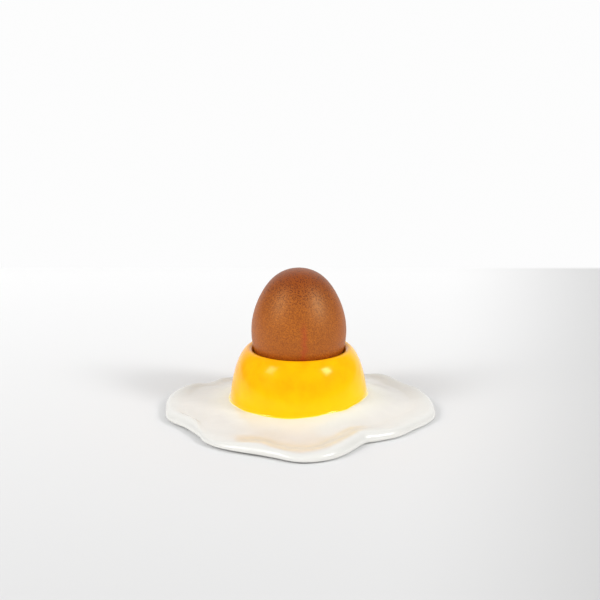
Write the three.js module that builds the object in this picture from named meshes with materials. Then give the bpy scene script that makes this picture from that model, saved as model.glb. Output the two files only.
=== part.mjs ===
import * as THREE from 'three';

// A boiled hen's egg standing point up in a ceramic egg cup shaped like a fried egg. The cup is
// one fired piece: its yolk is a thick ring that holds the egg, and its white is a wavy saucer.
// Millimetres, +Z up. The origin is the middle of the cup's flat foot, under the egg's axis.

// Egg. Its widest ring divides a long pointed half, above, from a rounder blunt half.
const EGG_RADIUS = 22.07;
const EGG_WIDEST_Z = 38.3;
const EGG_POINTED_HALF = 29.3;
const EGG_BLUNT_HALF = 27.6;
const EGG_TAPER = 0.119;
const EGG_TIP_FULLNESS = 0.178;

// Yolk. Its wall is a quarter of a superellipse that leans in from the foot to a rolled lip.
const YOLK_RADIUS = 32.1;
const YOLK_CROWN_RADIUS = 20.85;
const YOLK_BASE_Z = 6.5;
const YOLK_RISE = 24.5;
const YOLK_SIDE_POWER = 2.37;
const YOLK_CROWN_POWER = 1.45;
const LIP_START = 75 * Math.PI / 180;
const LIP_ROLL = 1.87;
const YOLK_FILLET = 1.2;

// Bowl. It follows the egg's blunt end, nearest to it on a seat ring part of the way down.
const SEAT_ANGLE = 48 * Math.PI / 180;
const SEAT_GAP = 0.35;
const BOWL_FLARE = 1.9;
const BOWL_TOP_ANGLE = 22 * Math.PI / 180;

// White. Its top slopes from the yolk's foot to a low trough, then rises to a rolled rim. The
// slope bends sharply at the foot and gently into the trough.
const TROUGH_NEAREST = 0.35;
const SLOPE_START = 1.35;
const SLOPE_END = 1.6;
const EDGE_TUCK = 0.6;
const EDGE_MIDDLE = 0.3;
const FOOT_REACH = 0.66;

// How high the white stands at the yolk's foot, once round by angle from +X in degrees.
const FOOT = [
  { angle: 120, height: 6.8 },
  { angle: 160, height: 5.9 },
  { angle: 265, height: 6.3 },
  { angle: 284, height: 7.1 },
  { angle: 290, height: 7.5 },
  { angle: 311, height: 7.7 },
  { angle: 320, height: 8.6 },
  { angle: 338, height: 8.8 },
];

// The white's free edge, once round by angle from +X in degrees: how far it reaches, how high
// its rim stands, how deep the trough inside lies, how wide the rim rolls, how far its
// underside clears the table and how wide the rise from trough to rim is. All in mm.
const RIM = [
  { angle: 15, reach: 60.6, crest: 5.1, trough: 4.6, roll: 2.4, lift: 0.9, rise: 8.0 },
  { angle: 20, reach: 57.8, crest: 5.3, trough: 4.8, roll: 2.2, lift: 1.0, rise: 7.0 },
  { angle: 25, reach: 55.9, crest: 5.8, trough: 5.2, roll: 2.2, lift: 1.2, rise: 7.0 },
  { angle: 37, reach: 53.6, crest: 6.8, trough: 5.9, roll: 2.2, lift: 1.5, rise: 6.0 },
  { angle: 45, reach: 48.8, crest: 6.2, trough: 5.6, roll: 1.8, lift: 1.4, rise: 5.0 },
  { angle: 58, reach: 46.8, crest: 5.4, trough: 4.9, roll: 2.0, lift: 1.0, rise: 5.0 },
  { angle: 73, reach: 48.4, crest: 5.0, trough: 4.6, roll: 2.0, lift: 0.9, rise: 5.0 },
  { angle: 90, reach: 49.8, crest: 5.6, trough: 5.0, roll: 2.0, lift: 1.1, rise: 5.0 },
  { angle: 107, reach: 47.4, crest: 5.0, trough: 4.5, roll: 2.0, lift: 0.9, rise: 5.0 },
  { angle: 123, reach: 46.0, crest: 5.2, trough: 4.6, roll: 1.8, lift: 1.0, rise: 4.5 },
  { angle: 137, reach: 47.3, crest: 5.3, trough: 4.6, roll: 1.8, lift: 1.1, rise: 4.5 },
  { angle: 143, reach: 49.0, crest: 5.6, trough: 4.6, roll: 1.8, lift: 1.2, rise: 4.5 },
  { angle: 149, reach: 50.1, crest: 5.0, trough: 4.5, roll: 1.8, lift: 1.0, rise: 4.5 },
  { angle: 154, reach: 52.4, crest: 5.1, trough: 4.5, roll: 2.0, lift: 1.0, rise: 5.0 },
  { angle: 159, reach: 57.2, crest: 5.8, trough: 4.7, roll: 2.8, lift: 1.2, rise: 5.5 },
  { angle: 164, reach: 60.8, crest: 5.4, trough: 4.5, roll: 4.0, lift: 1.0, rise: 6.0 },
  { angle: 170, reach: 62.7, crest: 4.7, trough: 4.3, roll: 4.4, lift: 0.8, rise: 7.0 },
  { angle: 177, reach: 62.8, crest: 4.4, trough: 4.1, roll: 2.8, lift: 0.8, rise: 8.0 },
  { angle: 186, reach: 62.5, crest: 4.2, trough: 4.0, roll: 2.6, lift: 0.7, rise: 7.0 },
  { angle: 198, reach: 62.8, crest: 4.7, trough: 3.8, roll: 4.2, lift: 0.8, rise: 4.0 },
  { angle: 211, reach: 59.3, crest: 5.3, trough: 3.7, roll: 3.8, lift: 1.1, rise: 3.2 },
  { angle: 223, reach: 60.2, crest: 4.0, trough: 3.6, roll: 1.4, lift: 1.1, rise: 4.5 },
  { angle: 229, reach: 62.8, crest: 3.5, trough: 3.6, roll: 1.2, lift: 1.0, rise: 7.0 },
  { angle: 237, reach: 64.2, crest: 3.4, trough: 3.6, roll: 1.6, lift: 1.0, rise: 10.0 },
  { angle: 253, reach: 64.5, crest: 4.9, trough: 2.9, roll: 4.4, lift: 1.0, rise: 11.0 },
  { angle: 261, reach: 66.3, crest: 4.4, trough: 2.6, roll: 3.2, lift: 0.9, rise: 11.0 },
  { angle: 270, reach: 70.1, crest: 4.0, trough: 2.4, roll: 4.6, lift: 0.8, rise: 11.0 },
  { angle: 278, reach: 69.2, crest: 4.5, trough: 2.5, roll: 4.8, lift: 0.6, rise: 11.0 },
  { angle: 285, reach: 66.0, crest: 5.0, trough: 2.9, roll: 5.6, lift: 0.5, rise: 11.0 },
  { angle: 300, reach: 56.4, crest: 5.3, trough: 3.8, roll: 4.2, lift: 0.6, rise: 9.0 },
  { angle: 308, reach: 57.3, crest: 4.8, trough: 4.0, roll: 4.0, lift: 0.6, rise: 9.0 },
  { angle: 318, reach: 59.5, crest: 4.3, trough: 4.0, roll: 3.2, lift: 0.5, rise: 8.0 },
  { angle: 329, reach: 60.4, crest: 4.2, trough: 4.0, roll: 4.4, lift: 0.5, rise: 7.0 },
  { angle: 338, reach: 62.8, crest: 4.1, trough: 4.0, roll: 5.0, lift: 0.4, rise: 6.5 },
  { angle: 347, reach: 64.4, crest: 4.1, trough: 4.0, roll: 3.4, lift: 0.5, rise: 7.0 },
];

// Facets.
const CUP_SLICES = 90;
const BOWL_STEPS = 8;
const LIP_STEPS = 5;
const WALL_STEPS = 8;
const FILLET_STEPS = 3;
const WHITE_STEPS = 10;
const EDGE_STEPS = 3;
const UNDERSIDE_STEPS = 3;
const EGG_SLICES = 44;
const EGG_STEPS_PER_HALF = 10;

const FULL_TURN = 360;
const QUARTER = Math.PI / 2;

const mix = (a, b, t) => a + (b - a) * t;
const smooth = (t) => t * t * (3 - 2 * t);
const steps = (count, point) => Array.from({ length: count }, (_, i) => point((i + 1) / count));

// 0 at the yolk's foot and 1 at the trough.
const slopeDown = (t) => 1 - (1 - Math.min(t, 1) ** SLOPE_START) ** SLOPE_END;

// A named value of a table of stations, at an angle in degrees: a smooth closed curve.
function ringValue(table, name, angle) {
  const turn = ((angle - table[0].angle) % FULL_TURN + FULL_TURN) % FULL_TURN + table[0].angle;
  const station = (i) => {
    const at = table[(i + table.length) % table.length];
    return { angle: at.angle + FULL_TURN * Math.floor(i / table.length), value: at[name] };
  };
  const next = table.findIndex((at) => at.angle > turn);
  const i = (next < 0 ? table.length : next) - 1;
  const [before, from, to, after] = [i - 1, i, i + 1, i + 2].map(station);
  const span = to.angle - from.angle;
  const t = (turn - from.angle) / span;
  const slopeFrom = span * (to.value - before.value) / (to.angle - before.angle);
  const slopeTo = span * (after.value - from.value) / (after.angle - from.angle);
  const bend = slopeFrom + slopeTo - 2 * (to.value - from.value);
  const rise = 3 * (to.value - from.value) - 2 * slopeFrom - slopeTo;
  return from.value + t * (slopeFrom + t * (rise + t * bend));
}

// Points are [radius, height]. The egg's outline at an elevation from its widest ring, with the
// blunt half at negative elevations.
function eggPoint(elevation) {
  const up = Math.sin(elevation);
  const around = EGG_RADIUS * Math.cos(elevation);
  if (up < 0) {
    return [around, EGG_WIDEST_Z + EGG_BLUNT_HALF * up];
  }
  const shape = 1 - EGG_TAPER * up ** 2 + EGG_TIP_FULLNESS * up ** 4;
  return [around * shape, EGG_WIDEST_Z + EGG_POINTED_HALF * up];
}

// The bowl stands off the egg's blunt half along its normal, by a gap that grows from the seat.
function bowlPoint(depth) {
  const [radius, z] = eggPoint(-depth);
  const outward = new THREE.Vector2(Math.cos(depth) / EGG_RADIUS, -Math.sin(depth) / EGG_BLUNT_HALF);
  outward.setLength(SEAT_GAP + BOWL_FLARE * (depth - SEAT_ANGLE) ** 2);
  return [radius + outward.x, z + outward.y];
}

function wallPoint(t) {
  const radius = YOLK_CROWN_RADIUS
    + (YOLK_RADIUS - YOLK_CROWN_RADIUS) * Math.cos(t) ** (2 / YOLK_SIDE_POWER);
  return [radius, YOLK_BASE_Z + YOLK_RISE * Math.sin(t) ** (2 / YOLK_CROWN_POWER)];
}

// The lip is an arc that leaves the wall at its own slope and rolls over into the bowl.
function lipPoints() {
  const side = YOLK_RADIUS - YOLK_CROWN_RADIUS;
  const [radius, z] = wallPoint(LIP_START);
  const slope = new THREE.Vector2(
    YOLK_SIDE_POWER * ((radius - YOLK_CROWN_RADIUS) / side) ** (YOLK_SIDE_POWER - 1) / side,
    YOLK_CROWN_POWER * ((z - YOLK_BASE_Z) / YOLK_RISE) ** (YOLK_CROWN_POWER - 1) / YOLK_RISE,
  ).normalize();
  const centre = [radius - LIP_ROLL * slope.x, z - LIP_ROLL * slope.y];
  const start = Math.atan2(slope.y, slope.x);
  return steps(LIP_STEPS, (t) => {
    const angle = mix(Math.PI, start, t);
    return [centre[0] + LIP_ROLL * Math.cos(angle), centre[1] + LIP_ROLL * Math.sin(angle)];
  });
}

// The whole outline of the cup on one side of its axis: up the bowl, over the lip, down the
// yolk, out along the white, round its rim and back underneath.
function cupOutline(angle) {
  const footZ = ringValue(FOOT, 'height', angle);
  const reach = ringValue(RIM, 'reach', angle);
  const crest = ringValue(RIM, 'crest', angle);
  const trough = ringValue(RIM, 'trough', angle);
  const roll = ringValue(RIM, 'roll', angle);
  const lift = ringValue(RIM, 'lift', angle);
  const rise = ringValue(RIM, 'rise', angle);

  const bowl = steps(BOWL_STEPS, (t) => bowlPoint(mix(QUARTER, BOWL_TOP_ANGLE, t)));
  const lip = lipPoints();

  const filletTop = footZ + YOLK_FILLET;
  const wallFoot = Math.asin(((filletTop - YOLK_BASE_Z) / YOLK_RISE) ** (YOLK_CROWN_POWER / 2));
  const wall = steps(WALL_STEPS, (t) => wallPoint(mix(LIP_START, wallFoot, t)));
  const wallRadius = wallPoint(wallFoot)[0];
  const fillet = steps(FILLET_STEPS, (t) => [
    wallRadius + YOLK_FILLET * (1 - Math.cos(QUARTER * t)),
    filletTop - YOLK_FILLET * Math.sin(QUARTER * t),
  ]);

  const whiteStart = wallRadius + YOLK_FILLET;
  const rimStart = reach - roll;
  const troughAt = Math.max(TROUGH_NEAREST, 1 - rise / (rimStart - whiteStart));
  const white = steps(WHITE_STEPS, (t) => {
    const slope = mix(footZ, trough, slopeDown(t / troughAt));
    const upturn = (crest - trough) * smooth(Math.max(0, (t - troughAt) / (1 - troughAt)));
    return [mix(whiteStart, rimStart, t), slope + upturn];
  });

  const middle = mix(lift, crest, EDGE_MIDDLE);
  const edgeTop = steps(EDGE_STEPS, (t) => [
    rimStart + roll * Math.sin(QUARTER * t),
    middle + (crest - middle) * Math.cos(QUARTER * t),
  ]);
  const edgeUnder = steps(EDGE_STEPS, (t) => [
    reach - EDGE_TUCK * (1 - Math.cos(QUARTER * t)),
    middle - (middle - lift) * Math.sin(QUARTER * t),
  ]);
  const underside = steps(UNDERSIDE_STEPS, (t) => [
    mix(reach - EDGE_TUCK, reach * FOOT_REACH, t),
    lift * (1 - smooth(t)),
  ]);
  return [...bowl, ...lip, ...wall, ...fillet, ...white, ...edgeTop, ...edgeUnder, ...underside];
}

// A closed solid from one outline per slice, with a pole on the axis at each end of them.
function slicedSolid(outlines, firstZ, lastZ) {
  const slices = outlines.length;
  const rings = outlines[0].length;
  const positions = [0, 0, firstZ];
  for (let ring = 0; ring < rings; ring += 1) {
    outlines.forEach((outline, slice) => {
      const turn = 2 * Math.PI * slice / slices;
      const [radius, z] = outline[ring];
      positions.push(radius * Math.cos(turn), radius * Math.sin(turn), z);
    });
  }
  positions.push(0, 0, lastZ);

  const at = (ring, slice) => 1 + ring * slices + slice % slices;
  const lastPole = 1 + rings * slices;
  const indices = [];
  for (let slice = 0; slice < slices; slice += 1) {
    indices.push(0, at(0, slice), at(0, slice + 1));
    for (let ring = 0; ring < rings - 1; ring += 1) {
      indices.push(at(ring, slice), at(ring + 1, slice), at(ring + 1, slice + 1));
      indices.push(at(ring, slice), at(ring + 1, slice + 1), at(ring, slice + 1));
    }
    indices.push(at(rings - 1, slice), lastPole, at(rings - 1, slice + 1));
  }
  const geometry = new THREE.BufferGeometry();
  geometry.setAttribute('position', new THREE.Float32BufferAttribute(positions, 3));
  geometry.setIndex(indices);
  geometry.computeVertexNormals();
  return geometry;
}

function makeEgg() {
  const outline = [];
  for (let i = -EGG_STEPS_PER_HALF; i <= EGG_STEPS_PER_HALF; i += 1) {
    const [radius, z] = eggPoint(QUARTER * i / EGG_STEPS_PER_HALF);
    const onAxis = Math.abs(i) === EGG_STEPS_PER_HALF;
    outline.push(new THREE.Vector2(onAxis ? 0 : radius, z));
  }
  const geometry = new THREE.LatheGeometry(outline, EGG_SLICES);
  geometry.rotateX(QUARTER);
  const shell = new THREE.MeshStandardMaterial({ color: 0xb8662a, roughness: 0.45, metalness: 0 });
  const egg = new THREE.Mesh(geometry, shell);
  egg.name = 'egg';
  return egg;
}

function makeCup() {
  const outlines = Array.from({ length: CUP_SLICES }, (_, i) => cupOutline(FULL_TURN * i / CUP_SLICES));
  const bowlBottom = bowlPoint(QUARTER)[1];
  const geometry = slicedSolid(outlines, bowlBottom, 0);

  // The yolk's rings are glazed yellow, and everything outside them white.
  const yolkRings = BOWL_STEPS + LIP_STEPS + WALL_STEPS + 1;
  const yellow = new THREE.Color(0xfecf05);
  const white = new THREE.Color(0xf2eee5);
  const colours = [];
  for (let i = 0; i < geometry.attributes.position.count; i += 1) {
    const ring = Math.floor((i - 1) / CUP_SLICES);
    colours.push(...(ring < yolkRings ? yellow : white).toArray());
  }
  geometry.setAttribute('color', new THREE.Float32BufferAttribute(colours, 3));
  const glaze = new THREE.MeshStandardMaterial({
    color: 0xffffff, vertexColors: true, roughness: 0.12, metalness: 0,
  });
  const cup = new THREE.Mesh(geometry, glaze);
  cup.name = 'egg_cup';
  return cup;
}

const boiledEggInCup = new THREE.Group();
boiledEggInCup.name = 'boiled_egg_in_egg_cup';
boiledEggInCup.add(makeCup(), makeEgg());

export default boiledEggInCup;
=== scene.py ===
"""A boiled hen's egg in a fried-egg-shaped ceramic cup, dressed for a plain studio picture.

The shapes follow the CAD solids: the same driving dimensions, in millimetres, on a finer mesh.
The looks and the studio are in metres.
"""

import math

import bpy
import numpy as np
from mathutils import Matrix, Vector


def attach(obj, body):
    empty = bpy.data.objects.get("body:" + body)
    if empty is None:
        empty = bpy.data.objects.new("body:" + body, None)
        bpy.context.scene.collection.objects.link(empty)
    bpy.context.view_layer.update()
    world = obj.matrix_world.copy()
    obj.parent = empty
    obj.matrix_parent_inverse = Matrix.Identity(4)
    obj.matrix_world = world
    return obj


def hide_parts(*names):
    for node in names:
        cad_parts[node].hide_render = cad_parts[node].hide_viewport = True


MM = 0.001
FULL_TURN = 2 * math.pi
QUARTER = math.pi / 2

# Egg.
EGG_RADIUS = 22.07
EGG_WIDEST_Z = 38.3
EGG_POINTED_HALF = 29.3
EGG_BLUNT_HALF = 27.6
EGG_TAPER = 0.119
EGG_TIP_FULLNESS = 0.178

# Yolk.
YOLK_RADIUS = 32.1
YOLK_CROWN_RADIUS = 20.85
YOLK_BASE_Z = 6.5
YOLK_RISE = 24.5
YOLK_SIDE_POWER = 2.37
YOLK_CROWN_POWER = 1.45
LIP_START = math.radians(75)
LIP_ROLL = 1.87
YOLK_FILLET = 1.2

# Bowl.
SEAT_ANGLE = math.radians(48)
SEAT_GAP = 0.35
BOWL_FLARE = 1.9
BOWL_TOP_ANGLE = math.radians(22)

# White.
TROUGH_NEAREST = 0.35
SLOPE_START = 1.35
SLOPE_END = 1.6
EDGE_TUCK = 0.6
EDGE_MIDDLE = 0.3
FOOT_REACH = 0.66
FOOT_LAST_RING = 0.05

# The yellow glaze ends a little above the white: mean height and size of the wobble, and the
# waves that make it up: number once round, share and phase.
GLAZE_LINE_HEIGHT = 0.18
GLAZE_LINE_WOBBLE = 0.3
GLAZE_LINE_WAVES = ((5, 0.25, 1.0), (11, 0.15, 0.0), (17, 0.10, 2.0))

# Height of the white where it meets the yolk, once round: angle in degrees, then height.
FOOT_NAMES = ("angle", "height")
FOOT = (
    (120, 6.8),
    (160, 5.9),
    (265, 6.3),
    (284, 7.1),
    (290, 7.5),
    (311, 7.7),
    (320, 8.6),
    (338, 8.8),
)

# The white's free edge, once round: angle in degrees, then reach, crest height, trough height,
# width of the rolled rim, lift off the table and width of the rise inside the rim.
RIM_NAMES = ("angle", "reach", "crest", "trough", "roll", "lift", "rise")
RIM = (
    (15, 60.6, 5.1, 4.6, 2.4, 0.9, 8.0),
    (20, 57.8, 5.3, 4.8, 2.2, 1.0, 7.0),
    (25, 55.9, 5.8, 5.2, 2.2, 1.2, 7.0),
    (37, 53.6, 6.8, 5.9, 2.2, 1.5, 6.0),
    (45, 48.8, 6.2, 5.6, 1.8, 1.4, 5.0),
    (58, 46.8, 5.4, 4.9, 2.0, 1.0, 5.0),
    (73, 48.4, 5.0, 4.6, 2.0, 0.9, 5.0),
    (90, 49.8, 5.6, 5.0, 2.0, 1.1, 5.0),
    (107, 47.4, 5.0, 4.5, 2.0, 0.9, 5.0),
    (123, 46.0, 5.2, 4.6, 1.8, 1.0, 4.5),
    (137, 47.3, 5.3, 4.6, 1.8, 1.1, 4.5),
    (143, 49.0, 5.6, 4.6, 1.8, 1.2, 4.5),
    (149, 50.1, 5.0, 4.5, 1.8, 1.0, 4.5),
    (154, 52.4, 5.1, 4.5, 2.0, 1.0, 5.0),
    (159, 57.2, 5.8, 4.7, 2.8, 1.2, 5.5),
    (164, 60.8, 5.4, 4.5, 4.0, 1.0, 6.0),
    (170, 62.7, 4.7, 4.3, 4.4, 0.8, 7.0),
    (177, 62.8, 4.4, 4.1, 2.8, 0.8, 8.0),
    (186, 62.5, 4.2, 4.0, 2.6, 0.7, 7.0),
    (198, 62.8, 4.7, 3.8, 4.2, 0.8, 4.0),
    (211, 59.3, 5.3, 3.7, 3.8, 1.1, 3.2),
    (223, 60.2, 4.0, 3.6, 1.4, 1.1, 4.5),
    (229, 62.8, 3.5, 3.6, 1.2, 1.0, 7.0),
    (237, 64.2, 3.4, 3.6, 1.6, 1.0, 10.0),
    (253, 64.5, 4.9, 2.9, 4.4, 1.0, 11.0),
    (261, 66.3, 4.4, 2.6, 3.2, 0.9, 11.0),
    (270, 70.1, 4.0, 2.4, 4.6, 0.8, 11.0),
    (278, 69.2, 4.5, 2.5, 4.8, 0.6, 11.0),
    (285, 66.0, 5.0, 2.9, 5.6, 0.5, 11.0),
    (300, 56.4, 5.3, 3.8, 4.2, 0.6, 9.0),
    (308, 57.3, 4.8, 4.0, 4.0, 0.6, 9.0),
    (318, 59.5, 4.3, 4.0, 3.2, 0.5, 8.0),
    (329, 60.4, 4.2, 4.0, 4.4, 0.5, 7.0),
    (338, 62.8, 4.1, 4.0, 5.0, 0.4, 6.5),
    (347, 64.4, 4.1, 4.0, 3.4, 0.5, 7.0),
)

# Fine mesh.
CUP_SLICES = 480
BOWL_STEPS = 18
LIP_STEPS = 12
WALL_STEPS = 34
FILLET_STEPS = 6
WHITE_STEPS = 64
EDGE_STEPS = 12
UNDERSIDE_STEPS = 12
FOOT_STEPS = 6
EGG_SLICES = 320
EGG_STEPS_PER_HALF = 90

# The cup mesh's "part" attribute. The yolk's wall and the white run from one value to the next.
PART_BOWL = -1.0
PART_LIP = 0.0
PART_YOLK_FOOT = 1.0
PART_RIM = 2.0
PART_UNDERSIDE = 2.5
PART_FOOT = 3.0

# The "glaze_line" attribute, in mm above the line between the glazes, at points far from it.
FAR_ABOVE_LINE = 20.0
FAR_BELOW_LINE = -5.0


def mix(a, b, t):
    return a + (b - a) * t


def smooth(t):
    t = np.clip(t, 0, 1)
    return t * t * (3 - 2 * t)


def steps(count):
    return np.arange(1, count + 1) / count


# ---------------------------------------------------------------- shapes


def ring_value(table, names, name, angle):
    """A value of a table of stations at angles in radians: a smooth closed curve through it."""
    column = names.index(name)
    stations = np.array([row[0] for row in table], float)
    values = np.array([row[column] for row in table], float)
    count = len(table)
    turn = (np.degrees(angle) - stations[0]) % 360 + stations[0]
    i = np.searchsorted(stations, turn, side="right") - 1

    def at(k):
        return stations[k % count] + 360 * (k // count), values[k % count]

    (before_at, before), (from_at, start) = at(i - 1), at(i)
    (to_at, end), (after_at, after) = at(i + 1), at(i + 2)
    span = to_at - from_at
    t = (turn - from_at) / span
    slope_start = span * (end - before) / (to_at - before_at)
    slope_end = span * (after - start) / (after_at - from_at)
    bend = slope_start + slope_end - 2 * (end - start)
    rise = 3 * (end - start) - 2 * slope_start - slope_end
    return start + t * (slope_start + t * (rise + t * bend))


def egg_point(elevation):
    """Radius and height of the shell, from the blunt end at -90 degrees to the pointed end."""
    up = np.sin(elevation)
    around = EGG_RADIUS * np.cos(elevation)
    shape = np.where(up > 0, 1 - EGG_TAPER * up**2 + EGG_TIP_FULLNESS * up**4, 1.0)
    half = np.where(up > 0, EGG_POINTED_HALF, EGG_BLUNT_HALF)
    return around * shape, EGG_WIDEST_Z + half * up


def bowl_point(depth):
    """The bowl: the egg's lower half, moved out by a gap that widens away from the seat."""
    radius, z = egg_point(-depth)
    out_r, out_z = np.cos(depth) / EGG_RADIUS, -np.sin(depth) / EGG_BLUNT_HALF
    gap = (SEAT_GAP + BOWL_FLARE * (depth - SEAT_ANGLE) ** 2) / np.hypot(out_r, out_z)
    return radius + gap * out_r, z + gap * out_z


def wall_point(t):
    """The yolk's side, a rounded shoulder from its foot at 0 to its crown at 90 degrees."""
    lean = np.cos(t) ** (2 / YOLK_SIDE_POWER)
    rise = np.sin(t) ** (2 / YOLK_CROWN_POWER)
    return mix(YOLK_CROWN_RADIUS, YOLK_RADIUS, lean), YOLK_BASE_Z + YOLK_RISE * rise


def lip_points():
    """The rolled lip, from the bowl outwards: an arc that runs on smoothly into the side."""
    side = YOLK_RADIUS - YOLK_CROWN_RADIUS
    radius, z = wall_point(LIP_START)
    out = (radius - YOLK_CROWN_RADIUS) / side
    up = (z - YOLK_BASE_Z) / YOLK_RISE
    slope_r = YOLK_SIDE_POWER * out ** (YOLK_SIDE_POWER - 1) / side
    slope_z = YOLK_CROWN_POWER * up ** (YOLK_CROWN_POWER - 1) / YOLK_RISE
    start = math.atan2(slope_z, slope_r)
    centre_r = radius - LIP_ROLL * math.cos(start)
    centre_z = z - LIP_ROLL * math.sin(start)
    angle = mix(math.pi, start, steps(LIP_STEPS))
    return centre_r + LIP_ROLL * np.cos(angle), centre_z + LIP_ROLL * np.sin(angle)


def glaze_line(angle):
    """How far above the white the yellow glaze ends, on the fillet at the yolk's foot."""
    wobble = sum(share * np.sin(number * angle + phase) for number, share, phase in GLAZE_LINE_WAVES)
    return GLAZE_LINE_HEIGHT + GLAZE_LINE_WOBBLE * wobble


def slope_down(t):
    """0 at the yolk's foot and 1 at the trough: a short bend at the foot, then a long one."""
    return 1 - (1 - np.clip(t, 0, 1) ** SLOPE_START) ** SLOPE_END


def bowl_rings():
    rings = [(*bowl_point(mix(QUARTER, BOWL_TOP_ANGLE, t)), PART_BOWL) for t in steps(BOWL_STEPS)]
    return rings + [(radius, z, PART_LIP) for radius, z in zip(*lip_points())]


def yolk_rings(angle, foot_z):
    """Down the side and round the fillet, with one ring on the line between the glazes."""
    fillet_top = foot_z + YOLK_FILLET
    wall_foot = np.arcsin(((fillet_top - YOLK_BASE_Z) / YOLK_RISE) ** (YOLK_CROWN_POWER / 2))
    rings = []
    for t in steps(WALL_STEPS):
        radius, z = wall_point(mix(LIP_START, wall_foot, t))
        rings.append((radius, z, mix(PART_LIP, PART_YOLK_FOOT, t)))

    wall_radius = wall_point(wall_foot)[0]
    line_turn = np.arcsin(1 - glaze_line(angle) / YOLK_FILLET)
    to_line = [mix(0, line_turn, t) for t in steps(FILLET_STEPS)]
    past_line = [mix(line_turn, QUARTER, t) for t in steps(FILLET_STEPS)]
    for turn in to_line + past_line:
        radius = wall_radius + YOLK_FILLET * (1 - np.cos(turn))
        rings.append((radius, fillet_top - YOLK_FILLET * np.sin(turn), PART_YOLK_FOOT))
    return rings


def white_rings(start, foot_z, edge):
    """From the yolk's foot down into the trough, and up to the crest of the rim."""
    rim_start = edge["reach"] - edge["roll"]
    trough_at = np.maximum(TROUGH_NEAREST, 1 - edge["rise"] / (rim_start - start))
    rings = []
    for t in steps(WHITE_STEPS):
        z = mix(foot_z, edge["trough"], slope_down(t / trough_at))
        z = z + (edge["crest"] - edge["trough"]) * smooth((t - trough_at) / (1 - trough_at))
        rings.append((mix(start, rim_start, t), z, mix(PART_YOLK_FOOT, PART_RIM, t)))
    return rings


def rim_rings(edge):
    """Over the rolled rim to the free edge, and tucked in under it."""
    reach, crest, roll, lift = (edge[name] for name in ("reach", "crest", "roll", "lift"))
    middle = mix(lift, crest, EDGE_MIDDLE)
    rings = []
    for turn in QUARTER * steps(EDGE_STEPS):
        radius = reach - roll * (1 - math.sin(turn))
        rings.append((radius, mix(middle, crest, math.cos(turn)), PART_RIM))
    for turn in QUARTER * steps(EDGE_STEPS):
        radius = reach - EDGE_TUCK * (1 - math.cos(turn))
        rings.append((radius, middle - (middle - lift) * math.sin(turn), PART_RIM))
    return rings


def underside_rings(edge):
    """From the free edge down to the table, and across the flat foot."""
    foot_edge = edge["reach"] * FOOT_REACH
    rings = []
    for t in steps(UNDERSIDE_STEPS):
        radius = mix(edge["reach"] - EDGE_TUCK, foot_edge, t)
        rings.append((radius, edge["lift"] * (1 - smooth(t)), PART_UNDERSIDE))
    return rings + [(foot_edge * mix(1, FOOT_LAST_RING, t), 0.0, PART_FOOT) for t in steps(FOOT_STEPS)]


def cup_outline(angle):
    """Radius, height and part of every ring of the cup, for each angle: arrays (rings, slices)."""
    foot_z = ring_value(FOOT, FOOT_NAMES, "height", angle)
    edge = {name: ring_value(RIM, RIM_NAMES, name, angle) for name in RIM_NAMES[1:]}
    yolk = yolk_rings(angle, foot_z)
    white = white_rings(yolk[-1][0], foot_z, edge)
    rings = bowl_rings() + yolk + white + rim_rings(edge) + underside_rings(edge)
    return [np.array([np.broadcast_to(ring[k], len(angle)) for ring in rings]) for k in range(3)]


def add_object(name, data):
    added = bpy.data.objects.new(name, data)
    bpy.context.scene.collection.objects.link(added)
    return added


def sliced_mesh(name, radius, z, first_z, last_z):
    """A closed mesh from rings (rings, slices) in mm, with a pole on the axis at each end."""
    rings, slices = radius.shape
    turn = FULL_TURN * np.arange(slices) / slices
    body = np.stack([radius * np.cos(turn), radius * np.sin(turn), z], axis=-1).reshape(-1, 3)
    points = np.vstack([[0, 0, first_z], body, [0, 0, last_z]]) * MM

    def at(ring, here):
        return 1 + ring * slices + here

    ring, here = np.meshgrid(np.arange(rings - 1), np.arange(slices), indexing="ij")
    there = (here + 1) % slices
    quads = np.stack([at(ring, here), at(ring + 1, here), at(ring + 1, there), at(ring, there)], -1)
    here, there = here[0], there[0]
    first_pole = np.zeros_like(here)
    last_pole = np.full_like(here, 1 + rings * slices)
    first = np.stack([first_pole, at(0, here), at(0, there)], -1)
    last = np.stack([at(rings - 1, here), last_pole, at(rings - 1, there)], -1)

    mesh = bpy.data.meshes.new(name)
    faces = first.tolist() + quads.reshape(-1, 4).tolist() + last.tolist()
    mesh.from_pydata(points.tolist(), [], faces)
    mesh.polygons.foreach_set("use_smooth", np.ones(len(mesh.polygons), bool))
    mesh.update()
    return add_object(name, mesh)


def set_attribute(piece, name, values):
    layer = piece.data.attributes.new(name, "FLOAT", "POINT")
    layer.data.foreach_set("value", np.asarray(values, np.float32))


def make_cup():
    angle = FULL_TURN * np.arange(CUP_SLICES) / CUP_SLICES
    radius, z, part = cup_outline(angle)
    piece = sliced_mesh("fried_egg_cup", radius, z, bowl_point(QUARTER)[1], 0.0)

    foot_z = ring_value(FOOT, FOOT_NAMES, "height", angle)
    above = np.where(part <= PART_YOLK_FOOT, z - foot_z - glaze_line(angle), FAR_BELOW_LINE)
    above = np.concatenate([[FAR_ABOVE_LINE], above.ravel(), [FAR_BELOW_LINE]])
    set_attribute(piece, "glaze_line", above)
    set_attribute(piece, "part", np.concatenate([[PART_BOWL], part.ravel(), [PART_FOOT]]))

    piece.data.materials.append(yellow_glaze())
    piece.data.materials.append(white_glaze())
    yellow_rings = BOWL_STEPS + LIP_STEPS + WALL_STEPS + FILLET_STEPS
    glaze = (np.arange(len(piece.data.polygons)) >= yellow_rings * CUP_SLICES).astype(np.int32)
    piece.data.polygons.foreach_set("material_index", glaze)
    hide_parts("egg_cup")
    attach(piece, "root")


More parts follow.
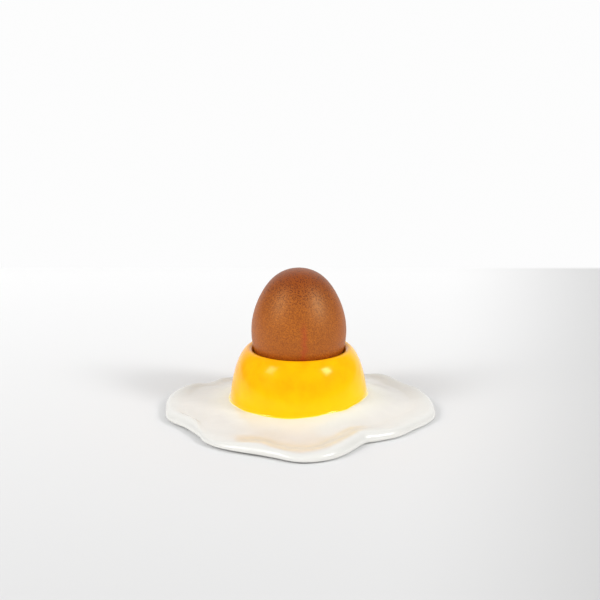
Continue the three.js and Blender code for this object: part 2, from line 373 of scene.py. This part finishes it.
def make_egg():
    ring = np.arange(EGG_STEPS_PER_HALF - 1, -EGG_STEPS_PER_HALF, -1)
    radius, z = egg_point(QUARTER * ring / EGG_STEPS_PER_HALF)
    radius = np.repeat(radius[:, None], EGG_SLICES, axis=1)
    z = np.repeat(z[:, None], EGG_SLICES, axis=1)
    bottom, top = EGG_WIDEST_Z - EGG_BLUNT_HALF, EGG_WIDEST_Z + EGG_POINTED_HALF
    piece = sliced_mesh("eggshell", radius, z, top, bottom)
    piece.data.materials.append(shell_material())
    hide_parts("egg")
    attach(piece, "root")


# ---------------------------------------------------------------- nodes


class Nodes:
    """A short way to add and join the nodes of a material or a world.

    Several sockets of a Mix, Math or Vector Math node share a name, so those go by number.
    """

    def __init__(self, owner, shader):
        owner.use_nodes = True
        self.owner = owner
        self.tree = owner.node_tree
        self.shader = self.tree.nodes[shader]

    def put(self, socket, value):
        if isinstance(value, bpy.types.NodeSocket):
            self.tree.links.new(value, socket)
        else:
            socket.default_value = value

    def add(self, kind, inputs=None, **settings):
        node = self.tree.nodes.new(kind)
        for key, value in settings.items():
            setattr(node, key, value)
        for key, value in (inputs or {}).items():
            self.put(node.inputs[key], value)
        return node

    def shade(self, inputs):
        """Set the owner's own shader."""
        for key, value in inputs.items():
            self.put(self.shader.inputs[key], value)

    def math(self, operation, *values):
        return self.add("ShaderNodeMath", dict(enumerate(values)), operation=operation).outputs[0]

    def vector_math(self, operation, *values):
        return self.add("ShaderNodeVectorMath", dict(enumerate(values)), operation=operation).outputs

    def split(self, vector):
        return self.add("ShaderNodeSeparateXYZ", {"Vector": vector}).outputs

    def ramp(self, value, low, high, start=0.0, end=1.0, kind="SMOOTHSTEP"):
        """From start, where the value is low, to end, where it is high."""
        inputs = {"Value": value, "From Min": low, "From Max": high, "To Min": start, "To Max": end}
        return self.add("ShaderNodeMapRange", inputs, interpolation_type=kind).outputs[0]

    def blend(self, factor, a, b):
        """A number between two numbers."""
        return self.add("ShaderNodeMix", {0: factor, 2: a, 3: b}).outputs[0]

    def mix(self, factor, a, b):
        """A colour between two colours."""
        return self.add("ShaderNodeMix", {0: factor, 6: a, 7: b}, data_type="RGBA").outputs[2]

    def noise(self, vector, scale, detail=2.0, roughness=0.5):
        inputs = {"Vector": vector, "Scale": scale, "Detail": detail, "Roughness": roughness}
        return self.add("ShaderNodeTexNoise", inputs).outputs["Fac"]

    def bump(self, height, strength, distance, under=None):
        """A bumped normal, on top of the one under it."""
        inputs = {"Height": height, "Strength": strength, "Distance": distance}
        if under is not None:
            inputs["Normal"] = under
        return self.add("ShaderNodeBump", inputs).outputs["Normal"]

    def attribute(self, name):
        return self.add("ShaderNodeAttribute", attribute_name=name).outputs["Fac"]

    def coordinates(self, kind):
        return self.add("ShaderNodeTexCoord").outputs[kind]


def new_material(name):
    return Nodes(bpy.data.materials.new(name), "Principled BSDF")


def srgb(red, green, blue):
    """A linear colour from a display colour of 0 to 255."""

    def linear(value):
        value /= 255
        return value / 12.92 if value <= 0.04045 else ((value + 0.055) / 1.055) ** 2.4

    return linear(red), linear(green), linear(blue), 1.0


# ---------------------------------------------------------------- looks

# In the looks a pair is a range: where something starts and where it is complete. A scale is
# that of a noise, in waves to the metre. Shares are of 1.

# Yellow glaze: cloudy, with painted light that makes it paler low down, for the light the white
# bounces up onto it, and on the right, where it is lit more; and a glossier bead of glaze along
# the foot. The edge and the bead are in mm above the line between the glazes.
YELLOW_DEEP = srgb(243, 165, 1)
YELLOW_BRIGHT = srgb(251, 179, 1)
YELLOW_PAINTED_LIGHT = srgb(253, 206, 1)
YELLOW_EDGE = srgb(252, 220, 20)
YELLOW_CLOUD_SCALE = 130.0
YELLOW_CLOUDS = (0.32, 0.68)
YELLOW_PAINTED_BOUNCE = (0.023, 0.008)
YELLOW_PAINTED_BOUNCE_SHARE = 0.6
YELLOW_PAINTED_LIGHT_RIGHT = (0.0, 0.034)
YELLOW_PAINTED_LIGHT_RIGHT_SHARE = 0.45
YELLOW_EDGE_REACH = (0.55, 0.0)
YELLOW_BEAD = (1.2, 0.6)
YELLOW_RIPPLE_SCALE = 160.0
YELLOW_SPECULAR_TINT = (1.0, 0.97, 0.5, 1.0)

# White glaze: painted paler towards the yolk's foot, as painted light where the yolk's wall shades
# it, a little colder on the rim, and tinted where it meets the yellow. The reaches of the painted
# light and of the rim are values of the "part" attribute.
WHITE_DULL = srgb(215, 212, 206)
WHITE_BRIGHT = srgb(222, 219, 213)
WHITE_PAINTED_LIGHT = srgb(229, 228, 217)
WHITE_RIM = srgb(219, 218, 213)
WHITE_EDGE = srgb(238, 232, 190)
WHITE_CLOUD_SCALE = 55.0
WHITE_CLOUDS = (0.3, 0.7)
WHITE_PAINTED_LIGHT_REACH = (1.5, 1.02)
WHITE_RIM_REACH = (1.7, 2.0)
WHITE_EDGE_REACH = (-0.6, 0.0)
WHITE_WAVE_SCALE = 75.0
WHITE_RIPPLE_SCALE = 190.0

# Eggshell: fine mottling over broad tones, a darker crown, and pores that are dark red-brown
# dots, close together on the crown and few below it.
SHELL_DARK = srgb(136, 62, 6)
SHELL_PALE = srgb(180, 97, 19)
SHELL_BROAD = srgb(150, 74, 15)
SHELL_CROWN = srgb(118, 36, 4)
SHELL_PORE = srgb(84, 16, 1)
SHELL_STREAK = srgb(168, 54, 22)
MOTTLE_SCALE = 1800.0
MOTTLE = (0.38, 0.62)
BROAD_SCALE = 60.0
BROAD = (0.3, 0.7)
BROAD_SHARE = 0.35
CROWN_HEIGHT = (0.053, 0.066)
CROWN_SHARE = 0.55
PORE_SCALE = 1300.0
PORE_SIZE = (0.42, 0.26)
PORE_HEIGHT = (0.047, 0.060)
PORES_BELOW = 0.08
GRAIN_SCALE = 1200.0
SHELL_SPECULAR_TINT = (1.0, 0.76, 0.42, 1.0)

# One faint reddish streak down the egg's front: its lean, the raggedness of its sides, its half
# width, the heights at which it fades in and out, and where the front is.
STREAK_LEAN = 0.11
STREAK_RAG_SCALE = 420.0
STREAK_RAG = 0.0035
STREAK_WIDTH = (0.0042, 0.0015)
STREAK_BOTTOM = (0.026, 0.031)
STREAK_TOP = (0.050, 0.041)
STREAK_FRONT = (0.0, -0.010)
STREAK_SHARE = 0.6


def yellow_glaze():
    n = new_material("yolk_yellow_glaze")
    place = n.coordinates("Object")
    across, _, height = n.split(place)
    line = n.attribute("glaze_line")

    clouds = n.noise(place, YELLOW_CLOUD_SCALE, detail=5.0, roughness=0.6)
    yellow = n.mix(n.ramp(clouds, *YELLOW_CLOUDS), YELLOW_DEEP, YELLOW_BRIGHT)
    # Painted light: paler low down, for light bounced up from the white, and on the right, where the
    # yolk is lit more.
    low = n.ramp(height, *YELLOW_PAINTED_BOUNCE, end=YELLOW_PAINTED_BOUNCE_SHARE)
    right = n.ramp(across, *YELLOW_PAINTED_LIGHT_RIGHT, end=YELLOW_PAINTED_LIGHT_RIGHT_SHARE)
    yellow = n.mix(n.math("ADD", low, right), yellow, YELLOW_PAINTED_LIGHT)
    yellow = n.mix(n.ramp(line, *YELLOW_EDGE_REACH), yellow, YELLOW_EDGE)

    ripples = n.noise(place, YELLOW_RIPPLE_SCALE, detail=1.0)
    n.shade({
        "Base Color": yellow,
        "Roughness": 0.14,
        "IOR": 1.45,
        "Specular IOR Level": 0.33,
        "Specular Tint": YELLOW_SPECULAR_TINT,
        "Coat Weight": n.ramp(line, *YELLOW_BEAD),
        "Coat Roughness": 0.05,
        "Normal": n.bump(ripples, strength=0.25, distance=0.0003),
    })
    return n.owner


def white_glaze():
    n = new_material("egg_white_glaze")
    place = n.coordinates("Object")
    part = n.attribute("part")

    clouds = n.noise(place, WHITE_CLOUD_SCALE, detail=3.0)
    white = n.mix(n.ramp(clouds, *WHITE_CLOUDS), WHITE_DULL, WHITE_BRIGHT)
    # Painted light: paler towards the yolk's foot, where the yolk's wall shades the white.
    white = n.mix(n.ramp(part, *WHITE_PAINTED_LIGHT_REACH), white, WHITE_PAINTED_LIGHT)
    white = n.mix(n.ramp(part, *WHITE_RIM_REACH), white, WHITE_RIM)
    white = n.mix(n.ramp(n.attribute("glaze_line"), *WHITE_EDGE_REACH), white, WHITE_EDGE)

    waves = n.noise(place, WHITE_WAVE_SCALE, detail=1.0)
    ripples = n.noise(place, WHITE_RIPPLE_SCALE, detail=1.0)
    wavy = n.bump(waves, strength=0.8, distance=0.0009)
    n.shade({
        "Base Color": white,
        "Roughness": 0.24,
        "IOR": 1.7,
        "Normal": n.bump(ripples, strength=0.4, distance=0.0003, under=wavy),
    })
    return n.owner


def streak_of_pigment(n, place, across, depth, height):
    """1 in the middle of the streak and 0 outside it."""
    aside = n.math("ABSOLUTE", n.math("MULTIPLY_ADD", depth, STREAK_LEAN, across))
    ragged = n.math("MULTIPLY_ADD", n.noise(place, STREAK_RAG_SCALE), STREAK_RAG, aside)
    streak = n.ramp(ragged, *STREAK_WIDTH)
    for value, limits in ((height, STREAK_BOTTOM), (height, STREAK_TOP), (depth, STREAK_FRONT)):
        streak = n.math("MULTIPLY", streak, n.ramp(value, *limits))
    return streak


def shell_material():
    n = new_material("brown_eggshell")
    place = n.coordinates("Object")
    across, depth, height = n.split(place)

    mottle = n.noise(place, MOTTLE_SCALE, roughness=0.7)
    brown = n.mix(n.ramp(mottle, *MOTTLE), SHELL_DARK, SHELL_PALE)
    broad = n.noise(place, BROAD_SCALE, detail=4.0)
    brown = n.mix(n.ramp(broad, *BROAD, end=BROAD_SHARE), brown, SHELL_BROAD)
    brown = n.mix(n.ramp(height, *CROWN_HEIGHT, end=CROWN_SHARE), brown, SHELL_CROWN)

    cells = n.add("ShaderNodeTexVoronoi", {"Vector": place, "Scale": PORE_SCALE})
    dots = n.ramp(cells.outputs["Distance"], *PORE_SIZE)
    pores = n.math("MULTIPLY", dots, n.ramp(height, *PORE_HEIGHT, start=PORES_BELOW))
    brown = n.mix(pores, brown, SHELL_PORE)
    streak = streak_of_pigment(n, place, across, depth, height)
    brown = n.mix(n.math("MULTIPLY", streak, STREAK_SHARE), brown, SHELL_STREAK)

    grain = n.bump(n.noise(place, GRAIN_SCALE), strength=0.35, distance=0.00012)
    n.shade({
        "Base Color": brown,
        "Roughness": 0.46,
        "Specular IOR Level": 0.85,
        "Specular Tint": SHELL_SPECULAR_TINT,
        "Normal": n.bump(pores, strength=0.25, distance=-0.00010, under=grain),
    })
    return n.owner


# ---------------------------------------------------------------- studio

# Camera, on a tripod in front of the egg: distance from the middle of the foot, and angles.
CAMERA_DISTANCE = 0.560
CAMERA_ELEVATION = math.radians(19.5)
CAMERA_PITCH = math.radians(14.27)
CAMERA_SIDE = 0.00054
CAMERA_LENS = 70.8
CAMERA_SENSOR = 36.0

# Floor, with painted light: its grey is painted palest at the back, by the wall, and darker towards
# the front and a little on the right, where the light falls off. Past the wall line and far from
# the middle it glows like the backdrop.
FLOOR_HALF = 3.0
FLOOR_DEPTH = (-0.18, 0.28)
FLOOR_PAINTED_LIGHT = (0.673, 0.975)
FLOOR_PAINTED_FALLOFF = (0.05, 0.20)
FLOOR_PAINTED_FALLOFF_TONE = 0.70
FLOOR_PAINTED_FALLOFF_SLANT = 0.17
WALL_LINE = (0.295, 0.305)
FLOOR_END = (0.5, 0.9)

# Each softbox is brightest above its middle: nested faces and a faint spill around them, which
# glossy surfaces don't mirror. Width, height, elevation in degrees and power in watts.
SOFTBOX_DISTANCE = 1.3
SOFTBOX_TURN = math.radians(60)
SOFTBOX_AIM = (0.0, 0.0, 0.03)
SOFTBOX_LEFT = ((0.24, 0.34, 36, 2.2), (0.34, 0.50, 36, 2.0))
SOFTBOX_RIGHT = ((0.25, 0.27, 34, 4.2), (0.37, 0.41, 34, 2.3))
SPILL_LEFT = (0.62, 0.95, 30, 4.1)
SPILL_RIGHT = (0.62, 0.95, 30, 1.0)

# The light tent, by heading (cosine of the turn from straight behind) and by height (sine of
# the elevation). Its soft light fades from the front to the back and to the top. Glossy
# surfaces mirror a bright white sweep straight behind, and a dark room elsewhere.
TENT_SIDES = (-0.6, 0.4)
TENT_TOP = (0.64, 0.95)
FRONT_LIGHT = 0.97
BACK_LIGHT = 0.78
TOP_LIGHT = 0.3
SWEEP_HEADING = (0.55, 0.92)
ROOM_MIRRORED = 0.14
SWEEP_MIRRORED = 1.09

# What the camera sees beyond the floor.
BACKDROP = 0.98


def floor_material():
    n = new_material("pale_floor")
    place = n.coordinates("Object")
    across, depth, _ = n.split(place)
    # Painted light: the grey is darker towards the front and on the right, where the light falls off.
    aside = n.math("MULTIPLY_ADD", depth, -FLOOR_PAINTED_FALLOFF_SLANT, across)
    painted_falloff = n.ramp(aside, *FLOOR_PAINTED_FALLOFF, start=1.0, end=FLOOR_PAINTED_FALLOFF_TONE)
    painted_light = n.math("MULTIPLY", n.ramp(depth, *FLOOR_DEPTH, *FLOOR_PAINTED_LIGHT, kind="LINEAR"), painted_falloff)
    painted_grey = n.add("ShaderNodeCombineColor", {"Red": painted_light, "Green": painted_light, "Blue": painted_light})
    n.shade({"Base Color": painted_grey.outputs[0], "Roughness": 0.9, "Specular IOR Level": 0.1})

    far = n.ramp(n.vector_math("LENGTH", place)["Value"], *FLOOR_END)
    beyond = n.math("MAXIMUM", n.ramp(depth, *WALL_LINE), far)
    glow = n.add("ShaderNodeEmission", {"Strength": BACKDROP})
    either = n.add("ShaderNodeMixShader", {0: beyond, 1: n.shader.outputs[0], 2: glow.outputs[0]})
    n.put(n.tree.nodes["Material Output"].inputs["Surface"], either.outputs[0])
    return n.owner


def make_floor():
    mesh = bpy.data.meshes.new("floor")
    signs = ((-1, -1), (1, -1), (1, 1), (-1, 1))
    corners = [(x * FLOOR_HALF, y * FLOOR_HALF, 0) for x, y in signs]
    mesh.from_pydata(corners, [], [(0, 1, 2, 3)])
    mesh.materials.append(floor_material())
    floor = add_object("floor", mesh)


def make_softbox(name, turn, faces, spill):
    for number, (width, height, elevation, power) in enumerate((*faces, spill)):
        light = bpy.data.lights.new(f"{name}_{number}", "AREA")
        light.shape = "RECTANGLE"
        light.size = width
        light.size_y = height
        light.energy = power
        rise = math.radians(elevation)
        level = SOFTBOX_DISTANCE * math.cos(rise)
        panel = add_object(light.name, light)
        panel.location = (
            level * math.sin(turn),
            -level * math.cos(turn),
            SOFTBOX_DISTANCE * math.sin(rise),
        )
        look = Vector(SOFTBOX_AIM) - panel.location
        panel.rotation_euler = look.to_track_quat("-Z", "Y").to_euler()
        panel.visible_glossy = number < len(faces)


def make_world():
    """The light tent, a room and a sweep to mirror, and an even pale field for the camera."""
    n = Nodes(bpy.data.worlds.new("studio"), "Background")
    direction = n.coordinates("Generated")
    flat = n.vector_math("MULTIPLY", direction, (1, 1, 0))["Vector"]
    heading = n.split(n.vector_math("NORMALIZE", flat)["Vector"])["Y"]
    height = n.split(direction)["Z"]
    path = n.add("ShaderNodeLightPath").outputs

    soft = n.ramp(heading, *TENT_SIDES, FRONT_LIGHT, BACK_LIGHT)
    mirrored = n.ramp(heading, *SWEEP_HEADING, ROOM_MIRRORED, SWEEP_MIRRORED)
    around = n.blend(path["Is Glossy Ray"], soft, mirrored)
    light = n.blend(n.ramp(height, *TENT_TOP), around, TOP_LIGHT)
    strength = n.blend(path["Is Camera Ray"], light, BACKDROP)
    n.shade({"Color": (1.0, 1.0, 1.0, 1.0), "Strength": strength})
    bpy.context.scene.world = n.owner


def make_camera():
    lens = bpy.data.cameras.new("camera")
    lens.lens = CAMERA_LENS
    lens.sensor_width = CAMERA_SENSOR
    camera = add_object("camera", lens)
    camera.location = (
        CAMERA_SIDE,
        -CAMERA_DISTANCE * math.cos(CAMERA_ELEVATION),
        CAMERA_DISTANCE * math.sin(CAMERA_ELEVATION),
    )
    camera.rotation_euler = (QUARTER - CAMERA_PITCH, 0, 0)
    bpy.context.scene.camera = camera


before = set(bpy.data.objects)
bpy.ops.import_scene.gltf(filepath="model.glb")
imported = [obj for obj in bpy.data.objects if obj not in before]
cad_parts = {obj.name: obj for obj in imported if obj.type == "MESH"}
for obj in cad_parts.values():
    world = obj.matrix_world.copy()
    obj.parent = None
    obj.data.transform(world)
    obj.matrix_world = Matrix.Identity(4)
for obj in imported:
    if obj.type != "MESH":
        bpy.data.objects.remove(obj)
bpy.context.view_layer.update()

make_cup()
make_egg()
make_floor()
make_softbox("softbox_left", -SOFTBOX_TURN, SOFTBOX_LEFT, SPILL_LEFT)
make_softbox("softbox_right", SOFTBOX_TURN, SOFTBOX_RIGHT, SPILL_RIGHT)
make_world()
make_camera()
bpy.context.scene.view_settings.view_transform = "Standard"
